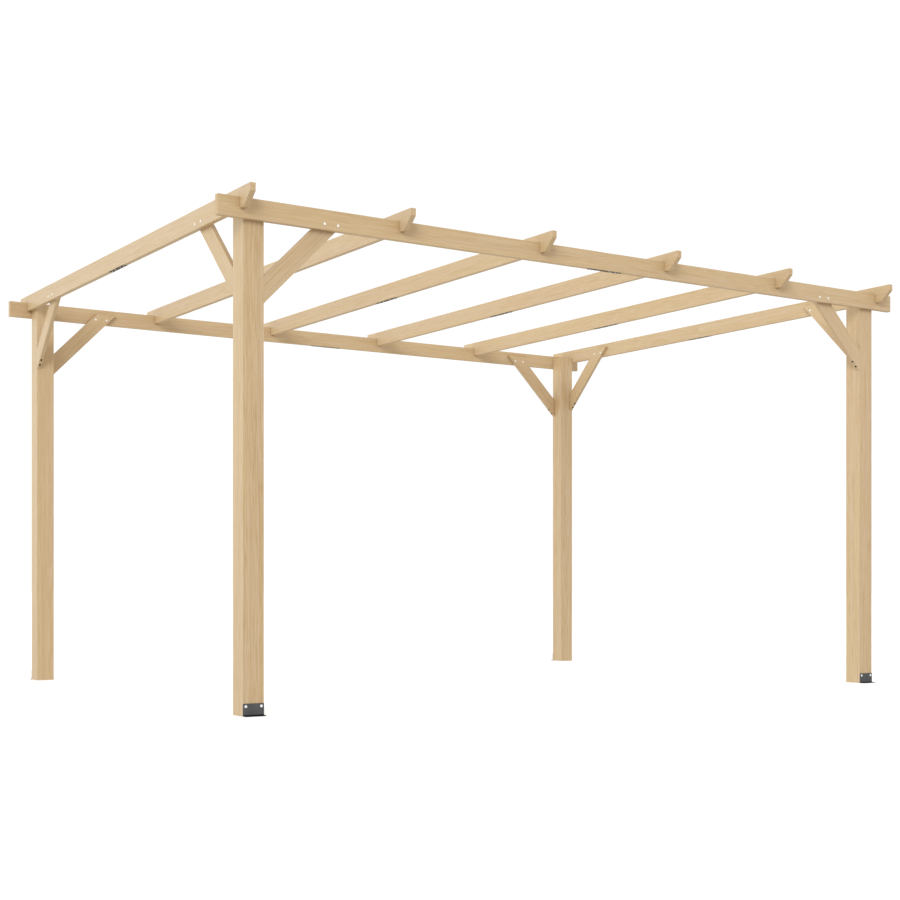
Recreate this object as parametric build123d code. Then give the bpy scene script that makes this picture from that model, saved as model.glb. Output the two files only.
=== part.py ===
from build123d import *
import os

os.makedirs("parts", exist_ok=True)

# ---------------------------------------------------------------- dimensions
# Free-standing flat-roofed timber pergola, millimetres.
# +X runs along the two long beams, +Y from the front beam to the back beam,
# +Z up, origin on the ground at the centre of the footprint.

BEAM_LEN = 4000.0        # front and back beams, end to end
POST = 95.0              # square post section
POST_X = 3660.0          # post centre spacing along the beams
POST_Y = 2652.0          # post centre spacing along the rafters
POST_TOP = 2095.0        # post height

T = 25.0                 # thickness of beam and rafter boards
DEPTH = 85.0             # depth of beam and rafter boards
BEAM_TOP = 2112.0        # upper edge of the beams
RAFT_TOP = 2150.0        # upper edge of the rafters
LAP_Z = 2088.0           # level where beam and rafter notches meet
LAP_PLAY = 0.5           # side play in each cross-lap notch
N_RAFT = 6               # rafters, equally spaced
OVERHANG = 96.5          # rafter nose beyond the beam's outer face
NOSE_PLUMB = 32.0        # upright part of the nose
NOSE_FLAT = 38.0         # level underside left beyond the beam
SEAM = 0.1               # half of the hairline gap where two boards butt

BRACE_REACH = 390.0      # knee brace, along beam or rafter, from the post face
BRACE_DROP = 28.0        # level top cut below the board's upper edge
BRACE_W = 80.0           # brace board, depth and thickness
BRACE_T = 20.0
PILOT_R = 5.3            # screw pockets in the brace's lower edge
PILOT_DEEP = 14.0
PILOTS = (20.0, 44.0)    # pocket distances from the post face

PLATE_LEN = 200.0        # splice plates under the butt seams
PLATE_W = 22.0
PLATE_T = 1.0

LEG_H = 52.0             # base brackets, steel angle
LEG_T = 2.5
FOOT_L = 30.0            # foot flange, measured from the post face
FOOT_R = 10.0            # rounded foot corners
BEND_R = 3.0             # outer radius of the angle's bend
ANCHOR_R = 3.5           # foot hole radius
ANCHOR_SPACING = 60.0
ANCHOR_Y = 17.0          # hole centres from the post face

EASE_POST = 1.2          # eased edges
EASE = 1.0

# ---------------------------------------------------------------- derived
hp = POST / 2
PX, PY = POST_X / 2, POST_Y / 2
BEAM_BOT = BEAM_TOP - DEPTH
RAFT_BOT = RAFT_TOP - DEPTH
BEAM_IN = PY + hp                 # beam inner face on the post's outer face
BEAM_OUT = BEAM_IN + T
RAFT_IN = PX + hp                 # outer rafters lie on the posts' side faces
RAFT_OUT = RAFT_IN + T
RAFT_END = BEAM_OUT + OVERHANG
PITCH = (2 * RAFT_OUT - T) / (N_RAFT - 1)
RAFT_X = [-RAFT_OUT + i * PITCH for i in range(N_RAFT)]   # left faces


def prism(points, plane, thick):
    """Closed outline drawn on a plane and drawn out along its normal."""
    with BuildPart() as p:
        with BuildSketch(plane):
            with BuildLine():
                Polyline(*points, close=True)
            make_face()
        extrude(amount=thick)
    return p.part


def along_y(points, x0, thick=T):
    """Outline in (y, z), standing at x0 and running to x0 + thick."""
    return prism(points, Plane(origin=(x0, 0, 0), x_dir=(0, 1, 0), z_dir=(1, 0, 0)), thick)


def along_x(points, y0, thick=T):
    """Outline in (x, z), standing at y0 and running to y0 + thick."""
    return prism(points, Plane(origin=(0, y0 + thick, 0), x_dir=(1, 0, 0), z_dir=(0, -1, 0)), thick)


def ease(part, keep, r):
    """Round the edges whose middle point passes the test."""
    edges = [e for e in part.edges() if keep(e, e @ 0.5)]
    return fillet(edges, r)


def save(part, name):
    part.label = name
    export_step(part, os.path.join("parts", name + ".step"))


# ---------------------------------------------------------------- posts
for fb, sy in (("front", -1), ("back", 1)):
    for lr, sx in (("left", -1), ("right", 1)):
        post = Pos(sx * PX, sy * PY, POST_TOP / 2) * Box(POST, POST, POST_TOP)
        post = ease(post, lambda e, m: True, EASE_POST)
        save(post, f"post_{fb}_{lr}")

# ---------------------------------------------------------------- beams
# Each beam is two boards butted at mid-length, notched from above for the
# rafters.
for fb, sy in (("front", -1), ("back", 1)):
    y0 = -BEAM_OUT if sy < 0 else BEAM_IN
    for lr, sx in (("left", -1), ("right", 1)):
        xa, xb = (-BEAM_LEN / 2, -SEAM) if sx < 0 else (SEAM, BEAM_LEN / 2)
        pts = [(xa, BEAM_BOT), (xb, BEAM_BOT), (xb, BEAM_TOP)]
        for rx in sorted(RAFT_X, reverse=True):
            if xa < rx < xb:
                pts += [(rx + T + LAP_PLAY, BEAM_TOP), (rx + T + LAP_PLAY, LAP_Z),
                        (rx - LAP_PLAY, LAP_Z), (rx - LAP_PLAY, BEAM_TOP)]
        pts.append((xa, BEAM_TOP))
        beam = along_x(pts, y0)

        def outline(e, m):
            # edges round both broad faces and the outer end, with the notches
            # and the butt end left sharp
            if abs(m.X) < 2 * SEAM:
                return False
            on_face = abs(m.Y - y0) < 0.01 or abs(m.Y - y0 - T) < 0.01
            if on_face:
                in_notch = LAP_Z - 0.01 < m.Z < BEAM_TOP - 0.01 and min(
                    abs(m.X - (rx + T / 2)) for rx in RAFT_X) < T
                return not in_notch
            return abs(m.X - sx * BEAM_LEN / 2) < 0.01

        beam = ease(beam, outline, EASE)
        save(beam, f"{fb}_beam_{lr}")

# ---------------------------------------------------------------- rafters
# Six rafters, each two boards butted at mid-length, notched from below over
# the beams, with a plumb nose undercut at an angle.
for i, rx in enumerate(RAFT_X, start=1):
    for fb, sy in (("front", -1), ("back", 1)):
        a, b = BEAM_IN - LAP_PLAY, BEAM_OUT + LAP_PLAY
        half = [(SEAM, RAFT_BOT), (a, RAFT_BOT), (a, LAP_Z), (b, LAP_Z), (b, RAFT_BOT),
                (BEAM_OUT + NOSE_FLAT, RAFT_BOT), (RAFT_END, RAFT_TOP - NOSE_PLUMB),
                (RAFT_END, RAFT_TOP), (SEAM, RAFT_TOP)]
        pts = [(sy * y, z) for y, z in half]
        if sy < 0:
            pts = pts[::-1]
        raft = along_y(pts, rx)

        def outline(e, m):
            y = abs(m.Y)
            in_notch = a - 0.01 < y < b + 0.01 and m.Z < LAP_Z + 0.01
            if in_notch or y < 2 * SEAM:
                return False
            if abs(m.X - rx) < 0.01 or abs(m.X - rx - T) < 0.01:
                return True
            return abs(y - RAFT_END) < 0.01

        raft = ease(raft, outline, EASE)
        save(raft, f"rafter_{i}_{fb}")

# ---------------------------------------------------------------- knee braces
# One towards the beam and one towards the outer rafter at every post: a board
# with a plumb foot against the post, a level top behind the beam or rafter and
# two screw pockets in its lower edge.
w2 = BRACE_W * 2 ** 0.5


def brace_outline(top):
    toe = top - BRACE_REACH
    return [(0.0, toe), (BRACE_REACH, top), (BRACE_REACH - w2, top), (0.0, toe + w2)]


for fb, sy in (("front", -1), ("back", 1)):
    for lr, sx in (("left", -1), ("right", 1)):
        # towards the beam: lies in the x-z plane behind the beam's inner face
        top = BEAM_TOP - BRACE_DROP
        face = sx * (PX - hp)
        pts = [(face - sx * d, z) for d, z in brace_outline(top)]
        if sx > 0:
            pts = pts[::-1]
        y0 = -BEAM_IN if sy < 0 else BEAM_IN - BRACE_T
        br = along_x(pts, y0, BRACE_T)
        br = ease(br, lambda e, m: abs(m.Y - y0) < 0.01 or abs(m.Y - y0 - BRACE_T) < 0.01, EASE)
        for d in PILOTS:
            z = top - BRACE_REACH + d
            pocket = Pos(face - sx * d, y0 + BRACE_T / 2, z) * Rot(0, sx * 45, 0) * Cylinder(PILOT_R, 2 * PILOT_DEEP)
            br = br - pocket
        save(br, f"brace_{fb}_{lr}_beam")

        # towards the rafter: lies in the y-z plane inside the outer rafter
        top = RAFT_TOP - BRACE_DROP
        face = sy * (PY - hp)
        pts = [(face - sy * d, z) for d, z in brace_outline(top)]
        if sy > 0:
            pts = pts[::-1]
        x0 = -RAFT_IN if sx < 0 else RAFT_IN - BRACE_T
        br = along_y(pts, x0, BRACE_T)
        br = ease(br, lambda e, m: abs(m.X - x0) < 0.01 or abs(m.X - x0 - BRACE_T) < 0.01, EASE)
        for d in PILOTS:
            z = top - BRACE_REACH + d
            pocket = Pos(x0 + BRACE_T / 2, face - sy * d, z) * Rot(-sy * 45, 0, 0) * Cylinder(PILOT_R, 2 * PILOT_DEEP)
            br = br - pocket
        save(br, f"brace_{fb}_{lr}_rafter")

# ---------------------------------------------------------------- splice plates
# Flat steel strips screwed under every butt seam.
for fb, sy in (("front", -1), ("back", 1)):
    plate = Pos(0, sy * (BEAM_IN + T / 2), BEAM_BOT - PLATE_T / 2) * Box(PLATE_LEN, PLATE_W, PLATE_T)
    plate = fillet(plate.edges().filter_by(Axis.Z), 4.0)
    save(plate, f"{fb}_beam_splice_plate")
for i, rx in enumerate(RAFT_X, start=1):
    plate = Pos(rx + T / 2, 0, RAFT_BOT - PLATE_T / 2) * Box(PLATE_W, PLATE_LEN, PLATE_T)
    plate = fillet(plate.edges().filter_by(Axis.Z), 4.0)
    save(plate, f"rafter_{i}_splice_plate")

# ---------------------------------------------------------------- base brackets
# Steel angles at the posts' feet, on the outer faces, with two holes in the
# foot for ground fixings.
for fb, sy in (("front", -1), ("back", 1)):
    for lr, sx in (("left", -1), ("right", 1)):
        y_face = sy * BEAM_IN
        prof = [(y_face, 0.0), (y_face + sy * FOOT_L, 0.0), (y_face + sy * FOOT_L, LEG_T),
                (y_face + sy * LEG_T, LEG_T), (y_face + sy * LEG_T, LEG_H), (y_face, LEG_H)]
        if sy < 0:
            prof = prof[::-1]
        x0 = sx * PX - hp
        angle = along_y(prof, x0, POST)
        inner = [e for e in angle.edges().filter_by(Axis.X)
                 if abs((e @ 0.5).Y - (y_face + sy * LEG_T)) < 0.01 and abs((e @ 0.5).Z - LEG_T) < 0.01]
        angle = fillet(inner, BEND_R)
        foot = [e for e in angle.edges().filter_by(Axis.Z)
                if abs((e @ 0.5).Y - (y_face + sy * FOOT_L)) < 0.01]
        angle = fillet(foot, FOOT_R)
        head = [e for e in angle.edges().filter_by(Axis.Y) if abs((e @ 0.5).Z - LEG_H) < 0.01]
        angle = fillet(head, 4.0)
        for dx in (-ANCHOR_SPACING / 2, ANCHOR_SPACING / 2):
            angle = angle - Pos(sx * PX + dx, y_face + sy * ANCHOR_Y, LEG_T / 2) * Cylinder(ANCHOR_R, 4 * LEG_T)
        save(angle, f"base_bracket_{fb}_{lr}")
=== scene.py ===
import math
import random

import bpy
import bmesh
from mathutils import Matrix, Vector


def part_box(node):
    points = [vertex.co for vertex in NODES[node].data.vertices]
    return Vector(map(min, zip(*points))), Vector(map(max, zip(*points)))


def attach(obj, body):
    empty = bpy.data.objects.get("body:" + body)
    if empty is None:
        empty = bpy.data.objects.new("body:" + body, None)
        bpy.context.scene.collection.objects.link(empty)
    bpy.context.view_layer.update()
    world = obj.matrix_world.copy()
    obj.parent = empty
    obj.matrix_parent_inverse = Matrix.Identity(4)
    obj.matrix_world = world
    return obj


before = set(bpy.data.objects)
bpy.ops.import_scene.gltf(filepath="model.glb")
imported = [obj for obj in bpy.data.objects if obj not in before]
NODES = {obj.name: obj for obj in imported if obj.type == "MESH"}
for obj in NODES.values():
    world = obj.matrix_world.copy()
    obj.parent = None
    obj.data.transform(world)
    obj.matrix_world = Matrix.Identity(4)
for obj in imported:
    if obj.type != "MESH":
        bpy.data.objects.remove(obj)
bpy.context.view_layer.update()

# ------------------------------------------------------------------ dimensions (metres, the CAD's own)
POST = 0.095
PX, PY = 1.830, 1.326              # post centres
HP = POST / 2
T, DEPTH = 0.025, 0.085            # board section
BEAM_TOP, RAFT_TOP = 2.112, 2.150
BEAM_BOT, RAFT_BOT = BEAM_TOP - DEPTH, RAFT_TOP - DEPTH
BEAM_IN, RAFT_IN = PY + HP, PX + HP
BEAM_OUT, RAFT_OUT = BEAM_IN + T, RAFT_IN + T
PITCH = (2 * RAFT_OUT - T) / 5
RAFT_X = [-RAFT_OUT + i * PITCH + T / 2 for i in range(6)]     # rafter centre lines
BRACE_REACH, BRACE_DROP = 0.390, 0.028
BRACE_T = 0.020
PLATE_T = 0.001
LEG_T = 0.0025
WOOD = (1.045, 1.053, 1.040)       # trim of the timber's tone
# strength of the figure and of its broad bands
FIGURE = {"post_front_left": (0.72, 0.50), "post_front_right": (0.64, 0.32),
          "post_back_left": (0.50, 0.20), "post_back_right": (0.68, 0.46)}
FIGURE_BOARD = (0.52, 0.17)

scene = bpy.context.scene
COLL = scene.collection


# ------------------------------------------------------------------ node helpers
class Tree:
    """Small helper for writing a node tree as expressions."""

    def __init__(self, mat):
        mat.use_nodes = True
        self.t = mat.node_tree
        self.t.nodes.clear()

    def n(self, kind, **props):
        node = self.t.nodes.new(kind)
        for k, v in props.items():
            setattr(node, k, v)
        return node

    def link(self, a, b):
        self.t.links.new(a, b)

    def put(self, sock, v):
        if hasattr(v, "is_output"):
            self.link(v, sock)
        else:
            sock.default_value = v

    def math(self, op, a, b=None, c=None, clamp=False):
        m = self.n("ShaderNodeMath", operation=op, use_clamp=clamp)
        for s, v in zip(m.inputs, (a, b, c)):
            if v is not None:
                self.put(s, v)
        return m.outputs[0]

    def vmath(self, op, a, b=None, scale=None):
        m = self.n("ShaderNodeVectorMath", operation=op)
        self.put(m.inputs[0], a)
        if b is not None:
            self.put(m.inputs[1], b)
        if scale is not None:
            self.put(m.inputs["Scale"], scale)
        return m.outputs["Value"] if op in ("DOT_PRODUCT", "LENGTH") else m.outputs[0]

    def noise(self, vec, scale=1.0, detail=2.0, rough=0.5, dims="3D", out="Fac"):
        m = self.n("ShaderNodeTexNoise", noise_dimensions=dims)
        self.put(m.inputs["Vector"], vec)
        m.inputs["Scale"].default_value = scale
        m.inputs["Detail"].default_value = detail
        m.inputs["Roughness"].default_value = rough
        return m.outputs[out]

    def ramp(self, fac, stops, interp="LINEAR"):
        m = self.n("ShaderNodeValToRGB")
        m.color_ramp.interpolation = interp
        els = m.color_ramp.elements
        while len(els) < len(stops):
            els.new(0.5)
        for e, (pos, col) in zip(els, stops):
            e.position = pos
            e.color = (*col, 1.0) if len(col) == 3 else col
        self.put(m.inputs["Fac"], fac)
        return m.outputs["Color"]

    def mixc(self, fac, a, b, mode="MIX"):
        m = self.n("ShaderNodeMix", data_type="RGBA", blend_type=mode)
        self.put(m.inputs["Factor"], fac)
        for s, v in ((m.inputs[6], a), (m.inputs[7], b)):
            if isinstance(v, tuple) and len(v) == 3:
                v = (*v, 1.0)
            self.put(s, v)
        return m.outputs[2]

    def maprange(self, v, a, b, c, d, smooth=False):
        m = self.n("ShaderNodeMapRange", interpolation_type="SMOOTHSTEP" if smooth else "LINEAR")
        self.put(m.inputs[0], v)
        for s, x in zip(m.inputs[1:5], (a, b, c, d)):
            s.default_value = x
        return m.outputs[0]

    def sep(self, vec):
        m = self.n("ShaderNodeSeparateXYZ")
        self.put(m.inputs[0], vec)
        return m.outputs

    def comb(self, x, y, z):
        m = self.n("ShaderNodeCombineXYZ")
        for s, v in zip(m.inputs, (x, y, z)):
            self.put(s, v)
        return m.outputs[0]


# ------------------------------------------------------------------ pine
def pine(name, along, across, centre, seed, pith_out, tone, figure, bands):
    """Planed pale pine as a solid texture. Growth rings lie about a pith behind
    the broad face, so that the face shows long arches; streaks and fibres are
    drawn out along the same wandering grain."""
    rnd = random.Random(seed)
    mat = bpy.data.materials.new(name)
    t = Tree(mat)
    l_dir, a_dir = Vector(along).normalized(), Vector(across).normalized()
    b_dir = l_dir.cross(a_dir)
    rot = Matrix((l_dir, a_dir, b_dir))
    loc = -(rot @ Vector(centre))

    co = t.n("ShaderNodeTexCoord").outputs["Object"]
    mp = t.n("ShaderNodeMapping", vector_type="POINT")
    mp.inputs["Location"].default_value = loc
    mp.inputs["Rotation"].default_value = rot.to_euler("XYZ")
    t.link(co, mp.inputs["Vector"])
    p = mp.outputs[0]                       # (along, across, across) in metres about the board's middle
    off = Vector((rnd.uniform(-40, 40), rnd.uniform(-40, 40), rnd.uniform(-40, 40)))

    def stretched(q, sl, sc, shift):
        q = t.vmath("MULTIPLY", q, (sl, sc, sc))
        return t.vmath("ADD", q, tuple(off + Vector((shift, shift * 1.7, -shift))))

    def swing(q, sl, sc, shift, amount):
        w = t.noise(stretched(q, sl, sc, shift), 1.0, 1.0, 0.5, out="Color")
        return t.vmath("MULTIPLY", t.vmath("SUBTRACT", w, (0.5, 0.5, 0.5)), (0.0, amount, amount))

    # the grain's wander: a slow swing along the board and a finer wobble
    g = t.vmath("ADD", p, swing(p, 0.75, 3.0, 3.1, 0.040))
    g = t.vmath("ADD", g, swing(p, 3.2, 14.0, 8.3, 0.007))

    pith = (0.0, rnd.uniform(-0.02, 0.02), pith_out * rnd.choice((-1, 1)))
    s = t.sep(t.vmath("SUBTRACT", g, pith))
    drift = t.math("MULTIPLY", s[0], rnd.uniform(0.004, 0.010) * rnd.choice((-1, 1)))
    r = t.vmath("LENGTH", t.comb(0.0, s[1], s[2]))
    ring_w = rnd.uniform(0.0040, 0.0056)
    jit = t.noise(t.comb(t.math("MULTIPLY", r, 70.0), off.x, off.y), 1.0, 1.0, 0.5)
    phase = t.math("ADD", t.math("DIVIDE", t.math("ADD", r, drift), ring_w), t.math("MULTIPLY", jit, 2.4))
    fr = t.math("FRACT", phase)
    late = t.ramp(fr, [(0.0, (0.0,) * 3), (0.40, (0.08,) * 3), (0.76, (0.70,) * 3), (0.92, (1.0,) * 3), (1.0, (0.0,) * 3)])
    year = t.noise(t.comb(t.math("MULTIPLY", t.math("FLOOR", phase), 3.71), off.y, off.z), 1.0, 0.0, 0.5)
    late = t.math("MULTIPLY", late, t.maprange(year, 0.30, 0.70, 0.25, 1.25))

    broad = t.noise(stretched(g, 0.35, 24.0, 7.7), 1.0, 2.0, 0.5)
    band = t.noise(stretched(g, 0.85, 185.0, 1.3), 1.0, 2.0, 0.55)
    streak = t.noise(stretched(g, 8.5, 420.0, -4.6), 1.0, 2.0, 0.6)
    fibre = t.noise(stretched(g, 34.0, 1100.0, 5.9), 1.0, 2.0, 0.6)
    hue = t.noise(stretched(g, 0.6, 30.0, -9.4), 1.0, 2.0, 0.5)

    # thin dark lines that run with the grain
    line = t.noise(stretched(g, 2.2, 62.0, 17.2), 1.0, 1.0, 0.5)
    line = t.maprange(t.math("ABSOLUTE", t.math("SUBTRACT", line, 0.5)), 0.0, 0.045, 1.0, 0.0, True)

    # one number for how dark the wood is, run through the wood's own tones
    v = t.math("MULTIPLY_ADD", t.math("SUBTRACT", broad, 0.5), bands, 0.40)
    v = t.math("MULTIPLY_ADD", t.math("SUBTRACT", band, 0.5), figure * 1.05, v)
    v = t.math("MULTIPLY_ADD", t.math("SUBTRACT", streak, 0.5), figure * 1.75, v)
    v = t.math("MULTIPLY_ADD", t.math("SUBTRACT", fibre, 0.5), figure * 0.40, v)
    v = t.math("MULTIPLY_ADD", late, figure * 0.24, v)
    v = t.math("MULTIPLY_ADD", line, figure * 0.14, v)

    def shade(c):
        return tuple(x * tone * k for x, k in zip(c, WOOD))
    c = t.ramp(v, [(0.00, shade((0.644, 0.500, 0.330))), (0.32, shade((0.598, 0.440, 0.258))),
                   (0.58, shade((0.545, 0.379, 0.196))), (0.84, shade((0.470, 0.302, 0.140))),
                   (1.00, shade((0.385, 0.232, 0.100)))])
    c = t.mixc(t.maprange(hue, 0.36, 0.64, 0.0, 1.0, True),
               t.mixc(1.0, c, (1.012, 1.000, 0.962), "MULTIPLY"),
               t.mixc(1.0, c, (1.004, 0.992, 1.030), "MULTIPLY"))

    # short dark flecks of resin ducts
    duct = t.noise(stretched(g, 34.0, 1500.0, 12.9), 1.0, 1.0, 0.5)
    c = t.mixc(t.maprange(duct, 0.68, 0.80, 0.0, 0.45, True), c, shade((0.36, 0.21, 0.095)))

    # sawn ends: pores instead of fibres, a shade duller
    nrm = t.n("ShaderNodeNewGeometry").outputs["Normal"]
    end = t.math("ABSOLUTE", t.vmath("DOT_PRODUCT", nrm, tuple(l_dir)))
    end = t.maprange(end, 0.60, 0.92, 0.0, 1.0, True)
    pores = t.noise(t.vmath("MULTIPLY", p, (300.0, 900.0, 900.0)), 1.0, 2.0, 0.6)
    ec = t.mixc(1.0, c, (0.985, 0.970, 0.950), "MULTIPLY")
    ec = t.mixc(t.maprange(pores, 0.52, 0.80, 0.0, 0.35), ec, shade((0.42, 0.27, 0.13)))
    c = t.mixc(end, c, ec)

    # painted shade on the faces that look up, and painted shade in the corners where boards meet (an ambient-occlusion
    # mask)
    # painted shade: faces that look up are darkened as if they took less light
    up_shade = t.maprange(t.sep(nrm)[2], 0.35, 0.65, 0.0, 1.0, True)
    c = t.mixc(up_shade, c, t.mixc(1.0, c, (0.66, 0.625, 0.53), "MULTIPLY"))
    # painted shade: colour darkened within 12 mm of other surfaces
    corner_shade = t.n("ShaderNodeAmbientOcclusion", samples=4)
    corner_shade.inputs["Distance"].default_value = 0.012
    c = t.mixc(corner_shade.outputs["AO"], t.mixc(1.0, c, (0.86, 0.80, 0.73), "MULTIPLY"), c)

    bs = t.n("ShaderNodeBsdfPrincipled")
    t.link(c, bs.inputs["Base Color"])
    rough = t.math("MULTIPLY_ADD", fibre, 0.18, 0.36)
    rough = t.math("MULTIPLY_ADD", late, -0.06, rough)
    rough = t.math("MULTIPLY_ADD", end, 0.14, rough)
    t.link(rough, bs.inputs["Roughness"])
    bs.inputs["Specular IOR Level"].default_value = 0.5
    h = t.math("MULTIPLY_ADD", fibre, 0.60, t.math("MULTIPLY", late, 0.40))
    h = t.math("MULTIPLY_ADD", streak, 0.35, h)
    h = t.math("MULTIPLY_ADD", t.math("MULTIPLY", end, pores), 0.8, h)
    bump = t.n("ShaderNodeBump")
    bump.inputs["Strength"].default_value = 0.25
    bump.inputs["Distance"].default_value = 0.0005
    t.link(h, bump.inputs["Height"])
    t.link(bump.outputs[0], bs.inputs["Normal"])
    out = t.n("ShaderNodeOutputMaterial")
    t.link(bs.outputs[0], out.inputs["Surface"])
    return mat


def coated_steel(name, dark, pale):
    """Dark grey powder coat with a fine orange-peel, and painted shade, near black, at the foot where it stands on the
    floor.
    """
    mat = bpy.data.materials.new(name)
    t = Tree(mat)
    co = t.n("ShaderNodeTexCoord").outputs["Object"]
    peel = t.noise(co, 900.0, 2.0, 0.5)
    cloud = t.noise(co, 35.0, 3.0, 0.5)
    c = t.mixc(t.maprange(cloud, 0.35, 0.7, 0.0, 1.0), dark, pale)
    foot_shade = t.maprange(t.sep(co)[2], 0.003, 0.007, 1.0, 0.0, True)      # painted shade where it stands on the floor: near black in the lowest few mm
    c = t.mixc(foot_shade, c, (0.005, 0.005, 0.005))
    bs = t.n("ShaderNodeBsdfPrincipled")
    t.link(c, bs.inputs["Base Color"])
    t.link(t.maprange(peel, 0.3, 0.7, 0.52, 0.66), bs.inputs["Roughness"])
    bs.inputs["Specular IOR Level"].default_value = 0.06
    bump = t.n("ShaderNodeBump")
    bump.inputs["Strength"].default_value = 0.12
    bump.inputs["Distance"].default_value = 0.0004
    t.link(peel, bump.inputs["Height"])
    t.link(bump.outputs[0], bs.inputs["Normal"])
    out = t.n("ShaderNodeOutputMaterial")
    t.link(bs.outputs[0], out.inputs["Surface"])
    return mat


def zinc(name, dark, pale, metal):
    """Satin zinc coat with a faint cloud in its tone and gloss."""
    mat = bpy.data.materials.new(name)
    t = Tree(mat)
    co = t.n("ShaderNodeTexCoord").outputs["Object"]
    cloud = t.noise(co, 260.0, 3.0, 0.55)
    c = t.mixc(t.maprange(cloud, 0.3, 0.7, 0.0, 1.0), dark, pale)
    bs = t.n("ShaderNodeBsdfPrincipled")
    t.link(c, bs.inputs["Base Color"])
    bs.inputs["Metallic"].default_value = metal
    t.link(t.maprange(cloud, 0.3, 0.7, 0.42, 0.56), bs.inputs["Roughness"])
    out = t.n("ShaderNodeOutputMaterial")
    t.link(bs.outputs[0], out.inputs["Surface"])
    return mat


def black_screw_pocket_shade():
    """Blackened screw steel, near black and without gloss, so that it also paints the shade inside the brace pockets.
    """
    mat = bpy.data.materials.new("black_screw_pocket_shade")
    t = Tree(mat)
    co = t.n("ShaderNodeTexCoord").outputs["Object"]
    cloud = t.noise(co, 700.0, 3.0, 0.55)
    # near-black tone and no gloss: the screws' own black, and also painted shade for the pockets
    c = t.mixc(t.maprange(cloud, 0.3, 0.7, 0.0, 1.0), (0.004, 0.003, 0.002), (0.009, 0.0075, 0.006))
    bs = t.n("ShaderNodeBsdfPrincipled")
    t.link(c, bs.inputs["Base Color"])
    t.link(t.maprange(cloud, 0.3, 0.7, 0.62, 0.78), bs.inputs["Roughness"])
    bs.inputs["Specular IOR Level"].default_value = 0.0
    out = t.n("ShaderNodeOutputMaterial")
    t.link(bs.outputs[0], out.inputs["Surface"])
    return mat


STEEL = coated_steel("powder_coated_steel", (0.096, 0.0955, 0.0955), (0.112, 0.1115, 0.111))
STRIP = coated_steel("plate_steel", (0.128, 0.104, 0.068), (0.152, 0.124, 0.082))
ZINC = zinc("white_zinc", (0.955, 0.940, 0.905), (0.985, 0.972, 0.940), 0.04)
BLACK = black_screw_pocket_shade()


def set_material(obj, mat):
    obj.data.materials.clear()
    obj.data.materials.append(mat)


# grain direction and a steady look for every timber piece
seed = 11
for name in sorted(NODES):
    o = NODES[name]
    lo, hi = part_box(name)
    mid = (lo + hi) / 2
    rnd = random.Random(name)
    if name.startswith("post_"):
        along, across = (0, 0, 1), (1, 0, 0)
    elif "_beam_" in name and not name.startswith("brace") and "plate" not in name:
        along, across = (1, 0, 0), (0, 0, 1)
    elif name.startswith("rafter_") and "plate" not in name:
        along, across = (0, 1, 0), (0, 0, 1)
    elif name.startswith("brace_"):
        sx = -1 if "_left_" in name else 1
        sy = -1 if "_front_" in name else 1
        if name.endswith("_beam"):
            along, across = (-sx, 0, 1), (sx, 0, 1)
        else:
            along, across = (0, -sy, 1), (0, sy, 1)
    else:
        set_material(o, STRIP if "plate" in name else STEEL)
        continue
    seed += 1
    pith_out = rnd.uniform(0.0, 0.022) if name.startswith("post_") else rnd.uniform(0.040, 0.085)
    set_material(o, pine("pine_" + name, along, across, mid, seed, pith_out, 1.0 + rnd.uniform(-0.02, 0.02),
                         *FIGURE.get(name, FIGURE_BOARD)))


# ------------------------------------------------------------------ fasteners
def hexagon(r):
    def f(a):
        m = a % (math.pi / 3) - math.pi / 6
        return r * math.cos(math.pi / 6) / math.cos(m)
    return f


def cross(length, half):
    def f(a):
        m = abs((a + math.pi / 4) % (math.pi / 2) - math.pi / 4)
        return length if math.sin(m) * length <= half else half / math.sin(m)
    return f


def turned(bm, rings, place, n=48, spin=0.0):
    """Skin over rings (radius or radius function, height), first ring open and
    the last one closed with a fan, placed by a matrix."""
    rows = []
    for rad, z in rings:
        row = []
        for i in range(n):
            a = 2 * math.pi * i / n
            r = rad(a) if callable(rad) else rad
            row.append(bm.verts.new(place @ Vector((r * math.cos(a + spin), r * math.sin(a + spin), z))))
        rows.append(row)
    for a, b in zip(rows, rows[1:]):
        for i in range(n):
            j = (i + 1) % n
            bm.faces.new((a[i], a[j], b[j], b[i]))
    bm.faces.new(rows[-1])
    bm.faces.new(list(reversed(rows[0])))


def frame_at(point, normal):
    z = Vector(normal).normalized()
    x = z.orthogonal().normalized()
    y = z.cross(x)
    m = Matrix((x, y, z)).transposed().to_4x4()
    m.translation = Vector(point)
    return m


def piece(name, bm, mat):
    me = bpy.data.meshes.new(name)
    bmesh.ops.recalc_face_normals(bm, faces=bm.faces)
    bm.to_mesh(me)
    bm.free()
    for p in me.polygons:
        p.use_smooth = True
    me.set_sharp_from_angle(angle=math.radians(32))
    me.materials.append(mat)
    o = bpy.data.objects.new(name, me)
    COLL.objects.link(o)
    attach(o, "root")
    return o


def domed_head(bm, point, normal, r, h, spin):
    """Low mushroom head with a hexagon socket."""
    s = hexagon(r * 0.32)
    rings = [(r * 0.97, -0.0004), (r, 0.0003)]
    for k in range(1, 7):
        a = math.radians(90 * k / 8)
        rings.append((r * (0.62 + 0.38 * math.cos(a)), 0.0003 + (h - 0.0003) * math.sin(a) / math.sin(math.radians(67.5))))
    top = rings[-1][1]
    rings += [(r * 0.56, top + 0.00008), (s, top), (s, top - h * 0.55), (lambda a: s(a) * 0.5, top - h * 0.60)]
    turned(bm, rings, frame_at(point, normal), 48, spin)


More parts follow.
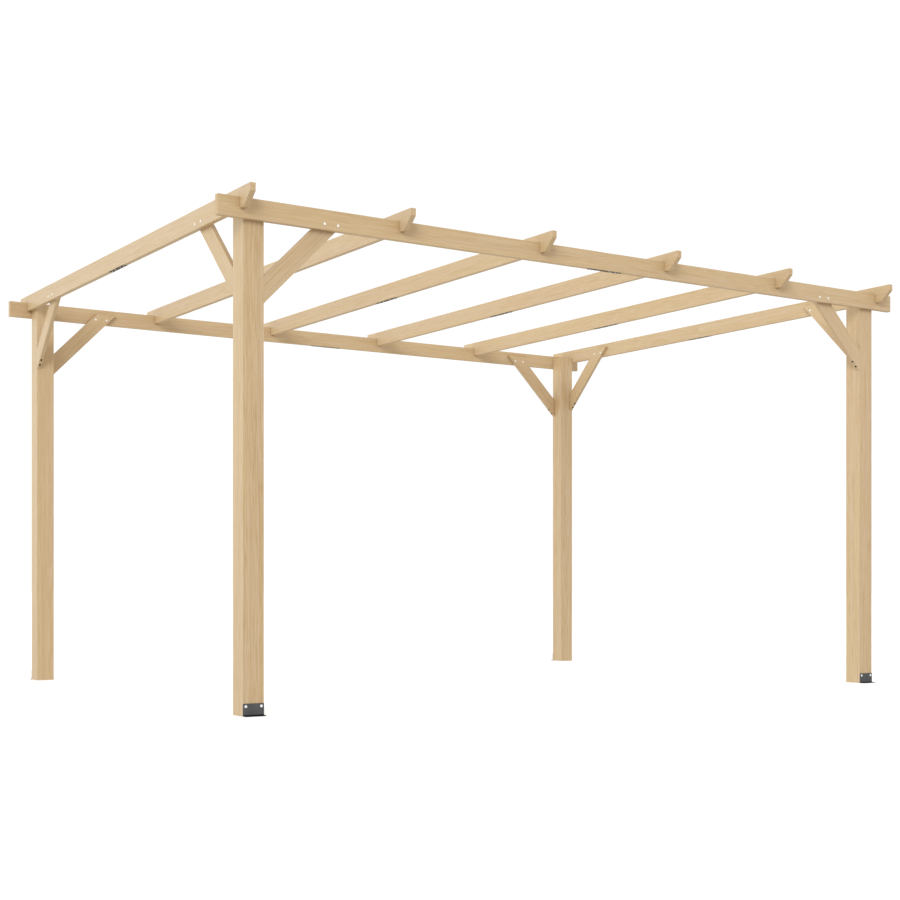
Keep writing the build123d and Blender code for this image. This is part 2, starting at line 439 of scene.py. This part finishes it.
def pan_head(bm, point, normal, r, h, spin):
    """Pan head with a cross recess."""
    c = cross(r * 0.62, r * 0.15)
    rings = [(r * 0.98, -0.0003), (r, 0.0004), (r, h * 0.35), (r * 0.95, h * 0.68), (r * 0.84, h * 0.90), (r * 0.72, h)]
    rings += [(c, h * 1.02), (c, h * 0.45), (lambda a: c(a) * 0.35, h * 0.30)]
    turned(bm, rings, frame_at(point, normal), 64, spin)


rs = random.Random(5)

# bolts through beam or rafter and brace: a head outside, a sleeve nut inside
BOLT_D = (0.270, 0.334)
bm = bmesh.new()
for sy in (-1, 1):
    for sx in (-1, 1):
        for d in BOLT_D:
            x = sx * (PX - HP - d)
            z = BEAM_BOT + 0.0245
            domed_head(bm, (x, sy * BEAM_OUT, z), (0, sy, 0), 0.0058, 0.0014, rs.uniform(0, 6))
            domed_head(bm, (x, sy * (BEAM_IN - BRACE_T), z), (0, -sy, 0), 0.0058, 0.0014, rs.uniform(0, 6))
            y = sy * (PY - HP - d)
            z = RAFT_BOT + 0.025
            domed_head(bm, (sx * RAFT_OUT, y, z), (sx, 0, 0), 0.0058, 0.0014, rs.uniform(0, 6))
            domed_head(bm, (sx * (RAFT_IN - BRACE_T), y, z), (-sx, 0, 0), 0.0058, 0.0014, rs.uniform(0, 6))
piece("brace_bolts", bm, ZINC)

# screws in the bracket legs
bm = bmesh.new()
for sy in (-1, 1):
    for sx in (-1, 1):
        for d in (-0.035, 0.035):
            pan_head(bm, (sx * PX + d, sy * (BEAM_IN + LEG_T), 0.040), (0, sy, 0), 0.0061, 0.0026, rs.uniform(0, 6))
piece("bracket_screws", bm, ZINC)

# screws under the splice plates, staggered
bm = bmesh.new()
STAGGER = ((0.024, -1), (0.044, 1), (0.064, -1), (0.088, 1))
for sy in (-1, 1):
    for side in (-1, 1):
        for d, k in STAGGER:
            pan_head(bm, (side * d, sy * (BEAM_IN + T / 2) + k * side * 0.005, BEAM_BOT - PLATE_T), (0, 0, -1), 0.0034, 0.0009, rs.uniform(0, 6))
for x in RAFT_X:
    for side in (-1, 1):
        for d, k in STAGGER:
            pan_head(bm, (x + k * side * 0.005, side * d, RAFT_BOT - PLATE_T), (0, 0, -1), 0.0034, 0.0009, rs.uniform(0, 6))
piece("splice_screws", bm, ZINC)

# black flat-headed screw heads set flush over the pockets in the braces' lower edges; their near-black tone without
# gloss is also painted shade for the pockets
bm = bmesh.new()
dg = math.sqrt(0.5)
for sy in (-1, 1):
    for sx in (-1, 1):
        for d in (0.020, 0.044):
            z = BEAM_TOP - BRACE_DROP - BRACE_REACH + d
            n = Vector((-sx * dg, 0, -dg))
            q = Vector((sx * (PX - HP - d), sy * (BEAM_IN - BRACE_T / 2), z))
            pan_head(bm, q + n * 0.00005, n, 0.0057, 0.0008, rs.uniform(0, 6))
            z = RAFT_TOP - BRACE_DROP - BRACE_REACH + d
            n = Vector((0, -sy * dg, -dg))
            q = Vector((sx * (RAFT_IN - BRACE_T / 2), sy * (PY - HP - d), z))
            pan_head(bm, q + n * 0.00005, n, 0.0057, 0.0008, rs.uniform(0, 6))
piece("brace_foot_screws", bm, BLACK)


# ------------------------------------------------------------------ stage
def stage_floor():
    me = bpy.data.meshes.new("floor")
    bm = bmesh.new()
    bmesh.ops.create_circle(bm, cap_ends=True, segments=96, radius=60.0)
    bm.to_mesh(me)
    bm.free()
    o = bpy.data.objects.new("floor", me)
    COLL.objects.link(o)
    mat = bpy.data.materials.new("pale_floor")
    t = Tree(mat)
    co = t.n("ShaderNodeTexCoord").outputs["Object"]
    v = t.noise(co, 0.7, 2.0, 0.5)
    c = t.mixc(t.maprange(v, 0.3, 0.7, 0.0, 1.0), (0.945, 0.945, 0.945), (0.960, 0.960, 0.960))
    bs = t.n("ShaderNodeBsdfPrincipled")
    t.link(c, bs.inputs["Base Color"])
    bs.inputs["Roughness"].default_value = 0.9
    bs.inputs["Specular IOR Level"].default_value = 0.1
    bs.inputs["Emission Color"].default_value = (1.0, 1.0, 1.0, 1.0)
    bs.inputs["Emission Strength"].default_value = 0.08
    out = t.n("ShaderNodeOutputMaterial")
    t.link(bs.outputs[0], out.inputs["Surface"])
    me.materials.append(mat)
    o.visible_diffuse = False          # the studio lights the undersides evenly
    o.visible_shadow = False
    o.visible_glossy = False
    return o


stage_floor()


# a soft key from the left, over the camera's shoulder, and a broad weak fill from the right
for name, power, spread, aim, tint in (("key", 0.489, 28.0, (0.689, 0.705, -0.400), (0.97, 1.0, 1.05)),
                                       ("fill", 0.245, 80.0, (-0.620, 0.700, -0.350), (1.01, 0.99, 0.94))):
    sun = bpy.data.lights.new(name, "SUN")
    sun.energy = power * math.pi
    sun.angle = math.radians(spread)
    sun.color = tint
    so = bpy.data.objects.new(name, sun)
    so.rotation_euler = Vector(aim).to_track_quat("-Z", "Y").to_euler()
    COLL.objects.link(so)

# white studio all round: walls bright at eye level, a softbox overhead, a pale floor
world = bpy.data.worlds.new("studio")
scene.world = world
world.use_nodes = True
wt = world.node_tree
wt.nodes.clear()


def wmath(op, x, y, z=None):
    m = wt.nodes.new("ShaderNodeMath")
    m.operation = op
    for sock, v in zip(m.inputs, (x, y, z)):
        if v is None:
            continue
        if hasattr(v, "is_output"):
            wt.links.new(v, sock)
        else:
            sock.default_value = v
    return m.outputs[0]


lp = wt.nodes.new("ShaderNodeLightPath")
gc = wt.nodes.new("ShaderNodeTexCoord")
gd = wt.nodes.new("ShaderNodeSeparateXYZ")
wt.links.new(gc.outputs["Generated"], gd.inputs[0])
dx, dy, dz = gd.outputs[0], gd.outputs[1], gd.outputs[2]
wall = wmath("POWER", wmath("SUBTRACT", 1.0, wmath("MULTIPLY", dz, dz)), 2.0)
level = wmath("MULTIPLY_ADD", wall, 0.641, 0.309)
level = wmath("MULTIPLY_ADD", dy, 0.500, level)
level = wmath("MULTIPLY_ADD", dz, -0.560, level)
level = wmath("MULTIPLY_ADD", wmath("POWER", wmath("MAXIMUM", dz, 0.0), 4.0), 2.306, level)
# in reflections the studio is dark below eye level
haze = wt.nodes.new("ShaderNodeMapRange")
haze.interpolation_type = "SMOOTHSTEP"
wt.links.new(dz, haze.inputs[0])
for sock, v in zip(haze.inputs[1:5], (-0.10, 0.04, 0.22, 1.0)):
    sock.default_value = v
gloss = wt.nodes.new("ShaderNodeMix")
wt.links.new(lp.outputs["Is Glossy Ray"], gloss.inputs[0])
gloss.inputs[2].default_value = 1.0
wt.links.new(haze.outputs[0], gloss.inputs[3])
level = wmath("MULTIPLY", level, gloss.outputs[0])
b1 = wt.nodes.new("ShaderNodeBackground")
# the light is a touch cooler from the left and the back
tint = wt.nodes.new("ShaderNodeCombineColor")
tint.inputs[0].default_value = 1.0
wt.links.new(wmath("MULTIPLY_ADD", dx, -0.025, wmath("MULTIPLY_ADD", dy, 0.025, 1.0)), tint.inputs[1])
wt.links.new(wmath("MULTIPLY_ADD", dx, -0.04, wmath("MULTIPLY_ADD", dy, 0.015, 1.0)), tint.inputs[2])
wt.links.new(tint.outputs[0], b1.inputs["Color"])
wt.links.new(level, b1.inputs["Strength"])
b2 = wt.nodes.new("ShaderNodeBackground")
b2.inputs["Color"].default_value = (1, 1, 1, 1)
b2.inputs["Strength"].default_value = 1.05
mx = wt.nodes.new("ShaderNodeMixShader")
wo = wt.nodes.new("ShaderNodeOutputWorld")
wt.links.new(lp.outputs["Is Camera Ray"], mx.inputs[0])
wt.links.new(b1.outputs[0], mx.inputs[1])
wt.links.new(b2.outputs[0], mx.inputs[2])
wt.links.new(mx.outputs[0], wo.inputs["Surface"])

scene.view_settings.view_transform = "Standard"
scene.view_settings.look = "None"
scene.view_settings.exposure = 0.0
scene.view_settings.gamma = 1.0

# ------------------------------------------------------------------ camera
# level, turned 33.2 degrees, with the lens raised so that uprights stay parallel
cam_data = bpy.data.cameras.new("camera")
cam_data.sensor_fit = "HORIZONTAL"
cam_data.sensor_width = 36.0
cam_data.lens = 1495.78 / 900.0 * 36.0
cam_data.shift_x = 0.0
cam_data.shift_y = 130.593 / 900.0
cam_data.clip_end = 200.0
cam = bpy.data.objects.new("camera", cam_data)
cam.location = (-4.50773, -6.93913, 0.55453)
cam.rotation_euler = (math.pi / 2, 0.0, -0.57914)
COLL.objects.link(cam)
scene.camera = cam
